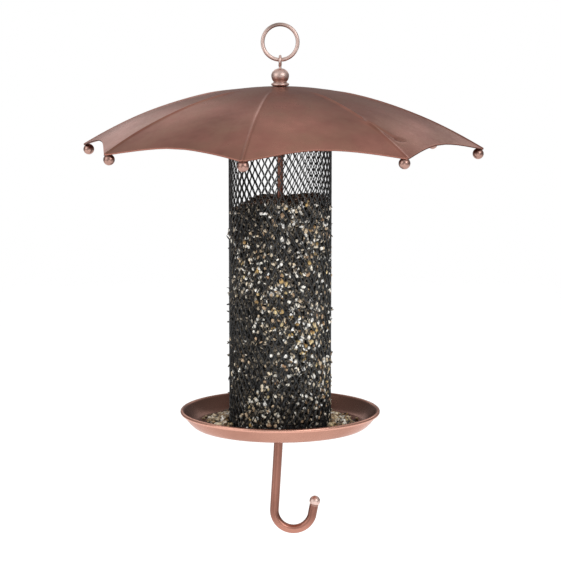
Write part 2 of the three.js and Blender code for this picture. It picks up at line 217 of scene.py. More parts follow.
def mesh_piece(name, points, faces, crease=38):
    """A smooth piece. Points that coincide are merged, so poles and seams close, faces are
    turned outwards, and edges past the crease angle in degrees stay sharp."""
    mesh = array_mesh(name, points, faces)
    work = bmesh.new()
    work.from_mesh(mesh)
    bmesh.ops.remove_doubles(work, verts=work.verts, dist=1e-6)
    bmesh.ops.recalc_face_normals(work, faces=work.faces)
    work.to_mesh(mesh)
    work.free()
    piece = shaded_piece(name, mesh, True)
    mesh.set_sharp_from_angle(angle=np.radians(crease))
    return piece


def grid_faces(rows, columns, wrap_rows=False):
    """Quads of a grid of rows by columns of points. The columns join round, and the rows do
    where they wrap."""
    r = np.arange(rows if wrap_rows else rows - 1)[:, None]
    c = np.arange(columns)[None, :]
    up = (r + 1) % rows
    on = (c + 1) % columns
    quads = [r * columns + c, r * columns + on, up * columns + on, up * columns + c]
    return np.stack(quads, -1).reshape(-1, 4)


def drawn_wire(path, radius, square, sides=20, closed=False):
    """Round bar: at each point of a flat path, a circle in the plane of the path's normal and
    the direction square to the path. Returns its points and faces; open ends are domed."""
    if closed:
        along = np.roll(path, -1, 0) - np.roll(path, 1, 0)
    else:
        along = np.gradient(path, axis=0)
    along /= np.linalg.norm(along, axis=1)[:, None]
    square = np.asarray(square, float)
    out = np.cross(along, square)
    radius = np.broadcast_to(radius, len(path)).astype(float)
    if not closed:
        back, ahead, rings = END_DOME, END_DOME[::-1], len(END_DOME)
        first = path[0] - along[0] * radius[0] * np.cos(back)[:, None]
        last = path[-1] + along[-1] * radius[-1] * np.cos(ahead)[:, None]
        path = np.concatenate([first, path, last])
        out = np.concatenate([np.repeat(out[:1], rings, 0), out, np.repeat(out[-1:], rings, 0)])
        radius = np.concatenate([radius[0] * np.sin(back), radius, radius[-1] * np.sin(ahead)])
    turn = np.linspace(0, 2 * np.pi, sides, endpoint=False)
    ring = out[:, None] * np.cos(turn)[None, :, None] + square * np.sin(turn)[None, :, None]
    points = path[:, None] + ring * radius[:, None, None]
    return points.reshape(-1, 3), grid_faces(len(path), sides, wrap_rows=closed)


def noise(tree, place, scale, **settings):
    """Noise of a scale per metre over the piece."""
    made = add_node(tree, "ShaderNodeTexNoise", Scale=scale, **settings)
    tree.links.new(place, made.inputs["Vector"])
    return made.outputs["Fac"]


def mixed(tree, factor, first, second):
    """A colour between two, each of which is a tuple or another node's output."""
    made = add_node(tree, "ShaderNodeMix", data_type="RGBA")
    tree.links.new(factor, made.inputs["Factor"])
    colours = [socket for socket in made.inputs if socket.type == "RGBA"]
    for socket, value in zip(colours, (first, second)):
        if isinstance(value, tuple):
            socket.default_value = (*value, 1)
        else:
            tree.links.new(value, socket)
    return [socket for socket in made.outputs if socket.type == "RGBA"][0]


def point_value(tree, name):
    """The value that the piece's points keep under a name, or 0 where they keep none."""
    return add_node(tree, "ShaderNodeAttribute", attribute_name=name).outputs["Fac"]


def roughen(tree, shader, source, strength):
    """Bump of a tenth of a millimetre at most from the source."""
    bump = add_node(tree, "ShaderNodeBump", Strength=strength, Distance=0.1 * MM)
    tree.links.new(source, bump.inputs["Height"])
    tree.links.new(bump.outputs["Normal"], shader.inputs["Normal"])


def copper(name, shadow, light, tint, rough, grain=COARSE_BRUSH):
    """Lacquered copper finish. Broad noise mottles the patina between a dark and a light tone
    with a drift of tint, fine noise gives brush marks in colour, roughness and bump, and the
    piece's painted highlight and painted shade values, where it has them, brighten or darken it."""
    material, tree, shader, place = new_finish(name)
    shader.inputs["Metallic"].default_value = 1.0
    shader.inputs["Specular Tint"].default_value = (0.95, 0.83, 0.8, 1)
    shader.inputs["Coat Weight"].default_value = 0.06
    shader.inputs["Coat Roughness"].default_value = 0.25
    broad = noise(tree, place, 14, Detail=4, Roughness=0.55)
    cloud = span(tree, broad, 0.32, 0.68, 0, 1)
    drift = span(tree, noise(tree, place, 33, Detail=3, Roughness=0.6), 0.42, 0.7, 0, 0.6)
    brush = noise(tree, place, grain, Detail=5, Roughness=0.65)
    tone = mixed(tree, cloud, shadow, light)
    tone = mixed(tree, drift, tone, tint)
    tone = mixed(tree, span(tree, brush, 0.35, 0.75, 0, 0.22), tone, light)
    # Painted highlight and painted shade: a lighter and a darker tone mixed in by the piece's point
    # values.
    painted_highlight_tone = tuple(1.4 * part for part in light)
    painted_shade_tone = tuple(0.3 * part for part in shadow)
    tone = mixed(tree, point_value(tree, "painted_highlight"), tone, painted_highlight_tone)
    tone = mixed(tree, point_value(tree, "painted_shade"), tone, painted_shade_tone)
    tree.links.new(tone, shader.inputs["Base Color"])
    grade = add_node(tree, "ShaderNodeMath", operation="ADD")
    tree.links.new(span(tree, cloud, 0, 1, rough + 0.05, rough - 0.05), grade.inputs[0])
    tree.links.new(span(tree, brush, 0.3, 0.7, -0.05, 0.07), grade.inputs[1])
    tree.links.new(grade.outputs["Value"], shader.inputs["Roughness"])
    roughen(tree, shader, brush, 42 / grain)
    return material


def fit_piece(piece, material, slot, body, *nodes):
    """Gives a piece its finish, hides the plain solids it stands for and fixes it to its body.
    The slot is not used."""
    piece.data.materials.append(material)
    if nodes:
        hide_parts(*nodes)
    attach(piece, body)


antique = copper(
    "antique_copper", (0.175, 0.069, 0.05), (0.37, 0.16, 0.122), (0.27, 0.15, 0.10), 0.32
)
bright = copper(
    "bright_copper", (0.36, 0.175, 0.13), (0.52, 0.275, 0.21), (0.42, 0.21, 0.155), 0.27
)
satin = copper(
    "satin_copper", (0.52, 0.37, 0.32), (0.82, 0.62, 0.56), (0.64, 0.46, 0.40), 0.4, FINE_BRUSH
)
rosy = copper(
    "rosy_copper", (0.28, 0.16, 0.13), (0.46, 0.28, 0.235), (0.36, 0.2, 0.165), 0.3, FINE_BRUSH
)
umber = copper(
    "umber_copper", (0.20, 0.09, 0.066), (0.33, 0.152, 0.115), (0.26, 0.118, 0.088), 0.36,
    FINE_BRUSH
)
dark = copper(
    "dark_copper", (0.10, 0.045, 0.035), (0.20, 0.095, 0.075), (0.14, 0.07, 0.05), 0.4
)


def keep_values(mesh, name, values):
    """Keeps a value for each point of a mesh under a name, for the finish to read."""
    kept = mesh.attributes.new(name, "FLOAT", "POINT")
    kept.data.foreach_set("value", values.astype(np.float32))


def mark_points(piece, name, rule):
    """Keeps a value from 0 to 1 at each point, worked out from its place in millimetres."""
    places = np.empty(len(piece.data.vertices) * 3, np.float32)
    piece.data.vertices.foreach_get("co", places)
    keep_values(piece.data, name, np.clip(rule(*places.reshape(-1, 3).T / MM), 0, 1))


def ring_points():
    """Centre line x = R sin a, z = -R cos a, with the wire a tenth thicker at the weld."""
    a = np.linspace(0, 2 * np.pi, 120, endpoint=False)
    path = np.stack([RING_RADIUS * np.sin(a), 0 * a, RING_Z - RING_RADIUS * np.cos(a)], -1)
    from_weld = np.abs((a - WELD_ANGLE + np.pi) % (2 * np.pi) - np.pi) * RING_RADIUS
    return path, RING_WIRE * (1 + WELD_SWELL * np.exp(-((from_weld / WELD_LENGTH) ** 2)))


def ring_painted_shade(x, y, z):
    """Painted shade over the top, most of it to the left of the middle."""
    from_top = np.arctan2(x, z - RING_Z)
    return RING_TOP_SHADE * np.exp(-(((from_top + 0.3) / 0.62) ** 2))


ring = mesh_piece("ring_wire", *drawn_wire(*ring_points(), (0, 1, 0), 20, closed=True))
# Painted shade: the top of the ring is darkened, as where less light falls on it.
mark_points(ring, "painted_shade", ring_painted_shade)
# The ring takes the pale satin finish, lighter than its antique copper, as a painted highlight.
fit_piece(ring, satin, "antique_copper", "hanger", "hanging_ring")

# ----------------------------------------------------------------------
# Top eye: steel wire bent round in a loop and back to its own shank, which screws into the
# finial ball. The loop stands square to the ring and is linked through it.
# ----------------------------------------------------------------------

EYE_RADIUS = 4.05
EYE_WIRE = 1.15
EYE_PASS = 0.35


def heights_of(node):
    """Lowest and highest level of a node, in millimetres."""
    low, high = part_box(node)
    return low[2] / MM, high[2] / MM


eye_low, eye_high = heights_of("top_eye")
EYE_Z = eye_high - EYE_RADIUS - EYE_WIRE


def eye_path():
    """Shank up the axis, an S-bend out to the circle y = R cos a, z = R sin a, and round it
    until the wire's end passes beside the shank."""
    a = np.radians(np.linspace(-62, 262, 60))
    loop = np.stack([0 * a, EYE_RADIUS * np.cos(a), EYE_Z + EYE_RADIUS * np.sin(a)], -1)
    loop[:, 0] = np.linspace(EYE_PASS, -EYE_PASS, len(a))
    t = np.linspace(0, 1, 14)[:-1, None]
    foot = np.array([0, 0, eye_low + EYE_WIRE])
    knee = np.array([0, 0, EYE_Z - EYE_RADIUS - 1.0])
    pull = np.array([0, 0.1, EYE_Z - EYE_RADIUS + 0.2])
    shank = foot + (knee - foot) * t
    bend = (1 - t) ** 2 * knee + 2 * t * (1 - t) * pull + t ** 2 * loop[0]
    return np.concatenate([shank, bend, loop])


eye = mesh_piece("eye_wire", *drawn_wire(eye_path(), EYE_WIRE, (1, 0, 0), 16))
fit_piece(eye, satin, "dark_copper", "finial", "top_eye")

# ----------------------------------------------------------------------
# Finial: a turned ball, drilled for the eye above and tapped for the rod below, and a loose
# turned collar with a hollow neck and a half-round flange. They clamp the roof on its sleeve.
# ----------------------------------------------------------------------

BALL_RADIUS = 7.7
BALL_CROWN = 6.4
BALL_SEAT = 5.6
CROWN_END = np.radians(79)
BORE = 2.9
EYE_HOLE_DEPTH = 4.9
ROD_HOLE_DEPTH = 4.7
COLLAR_RADIUS = 7.75
COLLAR_EDGE = 1.35
NECK_EDGE = 6.0
BEAD_EDGE = 5.75
COLLAR_BEAD = 0.3


def arc(centre_r, centre_z, radius, start, end, steps):
    """Points of a circular arc in a section; angles in degrees from outwards to upwards."""
    a = np.radians(np.linspace(start, end, steps))
    return np.stack([centre_r + radius * np.cos(a), centre_z + radius * np.sin(a)], -1)


def turned(outline, columns=72):
    """Points and faces of an outline of (radius, height) carried round the Z axis:
    x = r cos t, y = r sin t. The outline may close on itself."""
    outline = np.asarray(outline, float)
    t = np.linspace(0, 2 * np.pi, columns, endpoint=False)
    radius, height = outline[:, :1], outline[:, 1:]
    points = np.stack([radius * np.cos(t), radius * np.sin(t), np.repeat(height, columns, 1)], -1)
    return points.reshape(-1, 3), grid_faces(len(outline), columns)


def ball_outline():
    """Round below and flattened on top, with a flat seat and the two drilled holes."""
    low, high = heights_of("finial_ball")
    a = np.linspace(-np.arccos(BALL_SEAT / BALL_RADIUS), CROWN_END, 40)
    rise = np.where(a < 0, BALL_RADIUS, BALL_CROWN) * np.sin(a)
    skin = np.stack([BALL_RADIUS * np.cos(a), high - BALL_CROWN + rise], -1)
    hole = EYE_WIRE + 0.15
    eye_end, rod_end = high - EYE_HOLE_DEPTH, low + ROD_HOLE_DEPTH
    eye_hole = [[hole, high - 0.4], [hole, eye_end], [0, eye_end]]
    rod_hole = [[0, rod_end], [BORE, rod_end], [BORE, low]]
    return np.concatenate([rod_hole, skin, eye_hole])


def collar_outline():
    """Half-round flange, a hollow neck above it and a small bead under the ball."""
    low, high = heights_of("finial_collar")
    neck = low + 2 * COLLAR_EDGE + 0.15
    return np.concatenate(
        [
            [[BORE, low]],
            arc(COLLAR_RADIUS - COLLAR_EDGE, low + COLLAR_EDGE, COLLAR_EDGE, -90, 75, 14),
            arc(NECK_EDGE, neck, COLLAR_BEAD, -110, -180, 6),
            arc(BEAD_EDGE, high - COLLAR_BEAD, COLLAR_BEAD, -60, 90, 8),
            [[BORE, high], [BORE, low]],
        ]
    )


ball = mesh_piece("finial_turned_ball", *turned(ball_outline()))
fit_piece(ball, satin, "bright_copper", "finial", "finial_ball")
collar = mesh_piece("finial_turned_collar", *turned(collar_outline()))
fit_piece(collar, satin, "bright_copper", "collar", "finial_collar")

# ----------------------------------------------------------------------
# Roof: one sheet pressed to a shallow dome with eight raised creases, cut in scallops between
# eight tips. The panels are part flattened, and one crease has a small pucker near the rim.
# ----------------------------------------------------------------------

TIPS = 8
FIRST_TIP = np.radians(-9.7)
APEX_Z = -51.45
ROOF_DROP = 52.3
TIP_RADIUS = 176.5
MID_RADIUS = 156.5
SCALLOP_POWER = 1.85
FLATNESS = 0.5
SHEET = 0.8
CREASE_HEIGHT = 0.9
CREASE_WIDTH = 2.3
CREASE_TAPER = 1.0
CREASE_START = 34
CREASE_FADE = 30
ROUND_MIDDLE = 60
DENT_HEIGHT = 0.16
EDGE_PAINTED_HIGHLIGHT = 0.7
CREASE_PAINTED_HIGHLIGHT = 0.03
UNDER_PAINTED_SHADE = 0.5
PUCKER_START, PUCKER_MIDDLE, PUCKER_REACH = 119, 134, 15
PUCKER_SLANT = 0.29
GROOVE_DEPTH, GROOVE_WIDTH = 1.5, 1.7
FOLD_HEIGHT, FOLD_WIDTH, FOLD_OFFSET = 0.9, 2.0, 3.4
CURL_DEPTH, CURL_WIDTH, CURL_BEND = 1.3, 1.8, 0.05
CURL_ALONG, CURL_TOP, CURL_ACROSS, CURL_REACH = 149, 8, 12, 5
OFF_CREASE = np.array(
    [0, 0.16, 0.32, 0.5, 0.72, 1, 1.35, 1.8, 2.3, 2.9, 3.6, 4.4, 5.4, 6.7, 8.4, 10.5, 13, 16, 19.3]
)


def panel_share(azimuth):
    """0 in the middle of a panel, 1 on the crease at either side."""
    turns = (azimuth - FIRST_TIP) / (2 * np.pi / TIPS)
    return np.abs(turns - np.floor(turns) - 0.5) * 2


def rim_radius(azimuth):
    """Scalloped rim: middle radius plus the tips' reach times a power of the panel share."""
    return MID_RADIUS + (TIP_RADIUS - MID_RADIUS) * panel_share(azimuth) ** SCALLOP_POWER


def crease_ridge(radius, azimuth):
    """Rounded ridge along each crease, a bell of the distance from the crease line, wide and
    soft near the apex, where it fades out, and narrow at the tips."""
    off = radius * np.sin((1 - panel_share(azimuth)) * np.pi / TIPS)
    width = CREASE_WIDTH - CREASE_TAPER * radius / TIP_RADIUS
    fade = np.clip((radius - CREASE_START) / CREASE_FADE, 0, 1)
    fade = fade * fade * (3 - 2 * fade)
    return fade * np.exp(-((off / width) ** 2))


def dents(x, y):
    """Slow waves crossed with slower ones, for the unevenness of the pressed sheet."""
    crossed = np.sin(x / 11 + 0.7 * np.sin(y / 23)) * np.sin(y / 14 + 1.1)
    return crossed + 0.6 * np.sin(x / 31 - y / 19)


def pucker(radius, azimuth):
    """A groove that slants off the second crease with a low fold beside it, and a short curved
    groove at their outer end. Each is a bell of the distance from its own line."""
    side = azimuth - (FIRST_TIP + 2 * np.pi / TIPS)
    across = radius * np.sin(side)
    along = radius * np.cos(side)
    off = across - PUCKER_SLANT * (along - PUCKER_START)
    reach = np.exp(-(((along - PUCKER_MIDDLE) / PUCKER_REACH) ** 4))
    groove = -GROOVE_DEPTH * reach * np.exp(-((off / GROOVE_WIDTH) ** 2))
    fold = FOLD_HEIGHT * reach * np.exp(-(((off + FOLD_OFFSET) / FOLD_WIDTH) ** 2))
    curl = (along - CURL_ALONG) - CURL_BEND * (across - CURL_TOP) ** 2 / 2
    curl_reach = np.exp(-(((across - CURL_ACROSS) / CURL_REACH) ** 4))
    return groove + fold - CURL_DEPTH * curl_reach * np.exp(-((curl / CURL_WIDTH) ** 2))


def roof_height(radius, azimuth):
    """Height of the upper face: a parabola along the creases, panels part flattened between
    them, and the ridges, the dents and the pucker on top."""
    half = np.pi / TIPS
    flattened = np.cos(panel_share(azimuth) * half) / np.cos(half) - 1
    fade = np.minimum(1, radius / ROUND_MIDDLE)
    reach = radius * (1 + FLATNESS * fade * flattened) / TIP_RADIUS
    height = APEX_Z - ROOF_DROP * reach ** 2 + CREASE_HEIGHT * crease_ridge(radius, azimuth)
    uneven = dents(radius * np.sin(azimuth), -radius * np.cos(azimuth))
    height = height + DENT_HEIGHT * uneven * np.clip(radius / 90 - 0.3, 0, 1)
    return height + pucker(radius, azimuth)


def roof_grid():
    """Upper face over a grid of share of the way out by azimuth, packed close at the creases
    and the rim, then the lower face back in; both meet round the rim and round the hole."""
    panel = 2 * np.pi / TIPS
    half = np.concatenate([OFF_CREASE, 360 / TIPS - OFF_CREASE[:0:-1]])
    azimuth = np.radians(half)[None, :] + FIRST_TIP + np.arange(TIPS)[:, None] * panel
    azimuth = azimuth.ravel()
    share = np.concatenate([np.linspace(0, 0.96, 74), [0.972, 0.983, 0.991, 0.996, 1.0]])
    radius = BORE + (rim_radius(azimuth)[None, :] - BORE) * share[:, None]
    top = roof_height(radius, azimuth[None, :])
    slope = np.gradient(top, axis=0) / np.gradient(radius, axis=0)
    drop = SHEET * np.sqrt(1 + slope ** 2)
    radii = np.concatenate([radius, radius[::-1]])
    heights = np.concatenate([top, (top - drop)[::-1]])
    points = np.stack([radii * np.sin(azimuth), -radii * np.cos(azimuth), heights], -1)
    return points.reshape(-1, 3), grid_faces(*radii.shape, wrap_rows=True)


def roof_painted_highlight(x, y, z):
    """Painted highlight at the cut edge and a little along the creases."""
    radius, azimuth = np.hypot(x, y), np.arctan2(x, -y)
    edge = (radius - rim_radius(azimuth) + SHEET) / SHEET
    return np.maximum(CREASE_PAINTED_HIGHLIGHT * crease_ridge(radius, azimuth) ** 4, EDGE_PAINTED_HIGHLIGHT * edge)


def roof_painted_shade(x, y, z):
    """Painted shade on the underside."""
    return UNDER_PAINTED_SHADE * (z < roof_height(np.hypot(x, y), np.arctan2(x, -y)) - SHEET / 2)


roof = mesh_piece("roof_sheet", *roof_grid(), crease=50)
# Painted highlight: the cut edge and the crease tops are lightened, as where they catch the light.
mark_points(roof, "painted_highlight", roof_painted_highlight)
# Painted shade: the underside of the roof is darkened, as in the shade under it.
mark_points(roof, "painted_shade", roof_painted_shade)
fit_piece(roof, antique, "antique_copper", "umbrella", "roof")

# ----------------------------------------------------------------------
# Tip balls: a turned ball under each tip of the roof, soldered on by a short stud that stands
# square to the sheet.
# ----------------------------------------------------------------------

TIP_BALL_RADIUS = 4.75
TIP_BALL_CIRCLE = 171.9
TIP_BALL_Z = -107.8
STUD_RADIUS = 1.5
SOLDER_RADIUS = 2.4


def tip_ball(azimuth):
    """Ball and stud turned about their own axis, tipped to the sheet's slope and carried out
    along the azimuth."""
    slope = np.arctan(2 * ROOF_DROP * TIP_BALL_CIRCLE / TIP_RADIUS ** 2)
    sheet_z = roof_height(np.array(TIP_BALL_CIRCLE), np.array(FIRST_TIP)) - CREASE_HEIGHT - SHEET
    stud = (sheet_z - TIP_BALL_Z) * np.cos(slope) + 0.1
    meet = np.degrees(np.arccos(STUD_RADIUS / TIP_BALL_RADIUS))
    outline = np.concatenate(
        [
            arc(0, 0, TIP_BALL_RADIUS, -90, meet, 30),
            [[STUD_RADIUS, stud - 0.5], [SOLDER_RADIUS, stud], [0, stud]],
        ]
    )
    points, faces = turned(outline, 40)
    x, y, z = points.T
    y, z = (
        y * np.cos(slope) - z * np.sin(slope) - TIP_BALL_CIRCLE,
        y * np.sin(slope) + z * np.cos(slope) + TIP_BALL_Z,
    )
    x, y = x * np.cos(azimuth) - y * np.sin(azimuth), x * np.sin(azimuth) + y * np.cos(azimuth)
    return np.stack([x, y, z], -1), faces


for tip in range(TIPS):
    knob = mesh_piece(f"tip_knob_{tip + 1}", *tip_ball(FIRST_TIP + tip * 2 * np.pi / TIPS))
    fit_piece(knob, rosy, "bright_copper", "umbrella", f"tip_ball_{tip + 1}")

# ----------------------------------------------------------------------
# Rod and hardware: a drawn rod threaded at both ends, the nut that the roof's sleeve stands
# on, the sleeve and its washer, and the nut that holds the tube's base cap on the tray.
# ----------------------------------------------------------------------

ROD_RADIUS = 2.6
ROD_END_RADIUS = 2.0
THREAD_PITCH = 0.8
THREAD_DEPTH = 0.42
THREAD_LENGTH = 14
NUT_CORNER = 4.85
CHAMFER_CONES = (0, 0.1), (0.35, -0.32)
CHAMFER_END = 0.62
COUNTERSINK = 0.4
WASHER_RADIUS = 9
SLEEVE_RADIUS = 4


def ramp(tree, source, stops):
    """Colour by a value, between stops of a position and a colour."""
    made = tree.nodes.new("ShaderNodeValToRGB")
    elements = made.color_ramp.elements
    for element, (position, colour) in zip(elements, (stops[0], stops[-1])):
        element.position = position
        element.color = (*colour, 1)
    for position, colour in stops[1:-1]:
        elements.new(position).color = (*colour, 1)
    tree.links.new(source, made.inputs["Fac"])
    return made.outputs["Color"]


def zinc_finish():
    """Zinc plate: grey metal with a fine crystalline mottle."""
    material, tree, shader, place = new_finish("zinc_plate")
    shader.inputs["Metallic"].default_value = 1.0
    spangle = add_node(tree, "ShaderNodeTexVoronoi", Scale=900)
    tree.links.new(place, spangle.inputs["Vector"])
    distance = spangle.outputs["Distance"]
    tone = ramp(tree, distance, [(0.0, (0.36, 0.36, 0.38)), (1.0, (0.55, 0.55, 0.57))])
    tree.links.new(tone, shader.inputs["Base Color"])
    tree.links.new(span(tree, distance, 0, 1, 0.28, 0.5), shader.inputs["Roughness"])
    return material


zinc = zinc_finish()


def threaded_rod(low, shoulder, high):
    """Rod of a radius that steps down below the shoulder. Within the threaded lengths the
    radius is cut by a triangle wave of height less a turn per pitch, which winds it round."""
    step = THREAD_PITCH / 6
    heights = np.concatenate(
        [
            np.arange(low + 0.3, shoulder - 0.2, step),
            np.linspace(shoulder, high - THREAD_LENGTH - 0.2, 24),
            np.arange(high - THREAD_LENGTH, high - 0.4, step),
        ]
    )
    t = np.linspace(0, 2 * np.pi, 24, endpoint=False)
    wave = np.abs(((heights[:, None] / THREAD_PITCH - t / (2 * np.pi)) % 1) - 0.5) * 2
    threaded = (heights < shoulder) | (heights > high - THREAD_LENGTH)
    cut = np.where(threaded, THREAD_DEPTH, 0.0)
    plain = np.where(heights < shoulder, ROD_END_RADIUS, ROD_RADIUS)
    radius = plain[:, None] - cut[:, None] * wave
    foot, head = 0.7 * radius[:1], 0.75 * radius[-1:]
    radius = np.concatenate([0 * foot, foot, radius, head, 0 * head])
    heights = np.concatenate([[low, low], heights, [high, high]])
    points = np.stack([radius * np.cos(t), radius * np.sin(t), heights[:, None] + 0 * radius], -1)
    return points.reshape(-1, 3), grid_faces(len(heights), 24)


def hex_nut(low, high):
    """Hexagon of radius flat / cos of the angle from the nearest flat's middle, rounded by the
    chamfer cones above and below, with a countersunk bore."""
    t = np.linspace(0, 2 * np.pi, 72, endpoint=False)
    flat = NUT_CORNER * np.cos(np.pi / 6)
    hexagon = flat / np.cos((t + np.pi / 6) % (np.pi / 3) - np.pi / 6)
    rows = [(low + height, np.minimum(hexagon, flat - inset)) for height, inset in CHAMFER_CONES]
    rows.append((low + CHAMFER_END, np.minimum(hexagon, NUT_CORNER)))
    for height, radius in rows[::-1]:
        rows.append((high + low - height, radius))
    for height, sink in ((high, COUNTERSINK), (high - COUNTERSINK, 0),
                         (low + COUNTERSINK, 0), (low, COUNTERSINK)):
        rows.append((height, BORE + sink + 0 * t))
    rows.append(rows[0])
    points = [np.stack([r * np.cos(t), r * np.sin(t), 0 * t + z], -1) for z, r in rows]
    return np.concatenate(points), grid_faces(len(rows), 72)


def eased_tube(outer, inner, low, high, ease=0.25):
    """Outline of a bored bar with its four edges eased by small arcs."""
    return np.concatenate(
        [
            arc(outer - ease, low + ease, ease, -90, 0, 5),
            arc(outer - ease, high - ease, ease, 0, 90, 5),
            arc(inner + ease, high - ease, ease, 90, 180, 5),
            arc(inner + ease, low + ease, ease, 180, 270, 5),
            [[outer - ease, low]],
        ]
    )


rod_low, rod_high = heights_of("centre_rod")
tray_under = heights_of("tray")[0]
rod = mesh_piece("rod_bar", *threaded_rod(rod_low, tray_under, rod_high))
fit_piece(rod, antique, "dark_copper", "core", "centre_rod")
stop = mesh_piece("stop_hexagon", *hex_nut(*heights_of("stop_nut")), crease=25)
fit_piece(stop, dark, "dark_copper", "core", "stop_nut")
base = mesh_piece("base_hexagon", *hex_nut(*heights_of("base_nut")), crease=25)
fit_piece(base, zinc, "zinc_steel", "core", "base_nut")
washer_section = eased_tube(WASHER_RADIUS, BORE, *heights_of("roof_washer"))
washer = mesh_piece("washer_disc", *turned(washer_section))
fit_piece(washer, zinc, "zinc_steel", "core", "roof_washer")
sleeve_section = eased_tube(SLEEVE_RADIUS, BORE, *heights_of("roof_sleeve"))
sleeve = mesh_piece("sleeve_tube", *turned(sleeve_section, 40))
fit_piece(sleeve, dark, "dark_copper", "core", "roof_sleeve")

# ----------------------------------------------------------------------
# Seed tube: expanded steel rolled to a cylinder, black powder coated, with a hoop and a
# crossbar at its mouth and a shallow cap inside its foot.
# ----------------------------------------------------------------------

TUBE_RADIUS = 44.55
DIAMONDS = 46
DIAMOND_HEIGHT = 10.7
OPEN_AZIMUTH = np.radians(2.4)
OPEN_LEVEL = 0.186
STRAND_WIDTH = 0.9
STRAND_THICK = 0.6
STRAND_LEAN = np.radians(24)
BOND_OVERLAP = 0.92
HOOP_OUTER, HOOP_INNER = 46.1, 45.4


def powder_coat():
    """Black powder coat: near black with a slight orange-peel bump and uneven gloss."""
    material, tree, shader, place = new_finish("black_powder_coat")
    shader.inputs["Specular IOR Level"].default_value = 0.6
    dust = noise(tree, place, 60, Detail=4)
    tone = ramp(tree, dust, [(0.35, (0.006, 0.0065, 0.007)), (0.75, (0.018, 0.019, 0.02))])
    tree.links.new(tone, shader.inputs["Base Color"])
    tree.links.new(span(tree, dust, 0, 1, 0.22, 0.42), shader.inputs["Roughness"])
    roughen(tree, shader, noise(tree, place, 1500), 0.2)
    return material


black = powder_coat()


def expanded_mesh(low, high):
    """Upright zigzag strands side by side. A strand's place round the tube is a triangle wave
    of height with blunted peaks, where it lies against its neighbour as a bond. Its oblong
    section leans about the upright, so the strands stand like louvres."""
    strands = 2 * DIAMONDS
    pitch = 2 * np.pi * TUBE_RADIUS / strands
    rows = int((high - low) / (DIAMOND_HEIGHT / 8))
    z = np.linspace(low, high, rows)
    j = np.arange(strands)
    phase = (z[None, :] / DIAMOND_HEIGHT - OPEN_LEVEL + 0.5 + 0.5 * (j[:, None] % 2)) % 1
    wave = np.clip((np.abs(phase - 0.5) * 4 - 1) * 1.1, -1, 1)
    swing = (pitch - STRAND_WIDTH * BOND_OVERLAP) / 2
    arc_place = (j[:, None] + 0.5) * pitch + swing * wave
    corner_u = np.array([-1, 1, 1, -1]) * STRAND_WIDTH / 2
    corner_v = np.array([-1, -1, 1, 1]) * STRAND_THICK / 2
    u = corner_u * np.cos(STRAND_LEAN) - corner_v * np.sin(STRAND_LEAN)
    v = corner_u * np.sin(STRAND_LEAN) + corner_v * np.cos(STRAND_LEAN)
    angle = (arc_place[:, :, None] + u) / TUBE_RADIUS + OPEN_AZIMUTH
    radius = TUBE_RADIUS + v
    level = z[None, :, None] + 0 * angle
    points = np.stack([radius * np.cos(angle), radius * np.sin(angle), level], -1)
    one = grid_faces(rows, 4)
    foot = np.arange(4)
    caps = np.stack([foot, 4 * rows - 4 + foot])
    faces = np.concatenate([one, caps])
    every = (faces[None] + (j * rows * 4)[:, None, None]).reshape(-1, 4)
    return points.reshape(-1, 3), every


strands = mesh_piece("mesh_strands", *expanded_mesh(*heights_of("mesh_tube")), crease=30)
fit_piece(strands, black, "black_mesh", "core", "mesh_tube")
hoop_section = eased_tube(HOOP_OUTER, HOOP_INNER, *heights_of("tube_top_band"))
hoop = mesh_piece("mouth_hoop", *turned(hoop_section, 120))
fit_piece(hoop, black, "black_mesh", "core", "tube_top_band")

for node in ("tube_crossbar", "tube_base_cap"):
    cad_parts[node].data.materials.clear()
    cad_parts[node].data.materials.append(black)

# ----------------------------------------------------------------------
# Tray: a dish spun from copper-plated sheet, with a flat floor, a flaring wall and a bead
# rolled outwards at the rim.
# ----------------------------------------------------------------------

TRAY_RADIUS = 88.3
FLOOR_EDGE = 75.0
BEAD = 1.6
BEAD_CENTRE = TRAY_RADIUS - BEAD
WALL_SPREAD = BEAD_CENTRE - BEAD / 2 - FLOOR_EDGE
FLARE_POWER = 0.75
RISE_POWER = 1.15
TRAY_SHEET = 1
DISH_PAINTED_SHADE = 0.93
BEAD_PAINTED_HIGHLIGHT = 0.7
tray_low, tray_high = heights_of("tray")


def tray_outline():
    """Floor, a wall of radius a power of its rise, and the bead's arc; then the same line a
    sheet's thickness inside, back to the hole."""
    share = np.linspace(0, 1, 26)
    depth = tray_high - tray_low
    radius = FLOOR_EDGE + WALL_SPREAD * share ** FLARE_POWER
    rise = share ** RISE_POWER
    outer = np.stack([radius, tray_low + (depth - 2 * BEAD) * rise], -1)
    inside = tray_low + TRAY_SHEET + (depth - BEAD - TRAY_SHEET) * rise
    inner = np.stack([radius - TRAY_SHEET, inside], -1)
    bead = arc(BEAD_CENTRE, tray_high - BEAD, BEAD, -90, 120, 18)
    floor_out = np.linspace(BORE, FLOOR_EDGE, 12)[:-1]
    under = np.stack([floor_out, tray_low + 0 * floor_out], -1)
    over = under[::-1] + (0, TRAY_SHEET)
    return np.concatenate([under, outer, bead, inner[::-1], over, under[:1]])


def tray_painted_shade(x, y, z):
    """Painted shade inside the dish, up to the bead, for the shade under the roof and its dark
    reflection.
    """
    radius = np.hypot(x, y)
    share = np.clip((radius - FLOOR_EDGE) / WALL_SPREAD, 0, 1) ** (1 / FLARE_POWER)
    under = tray_low + (tray_high - tray_low - 2 * BEAD) * share ** RISE_POWER
    return DISH_PAINTED_SHADE * (z > under + TRAY_SHEET / 2) * np.clip(BEAD_CENTRE - 0.3 - radius, 0, 1)


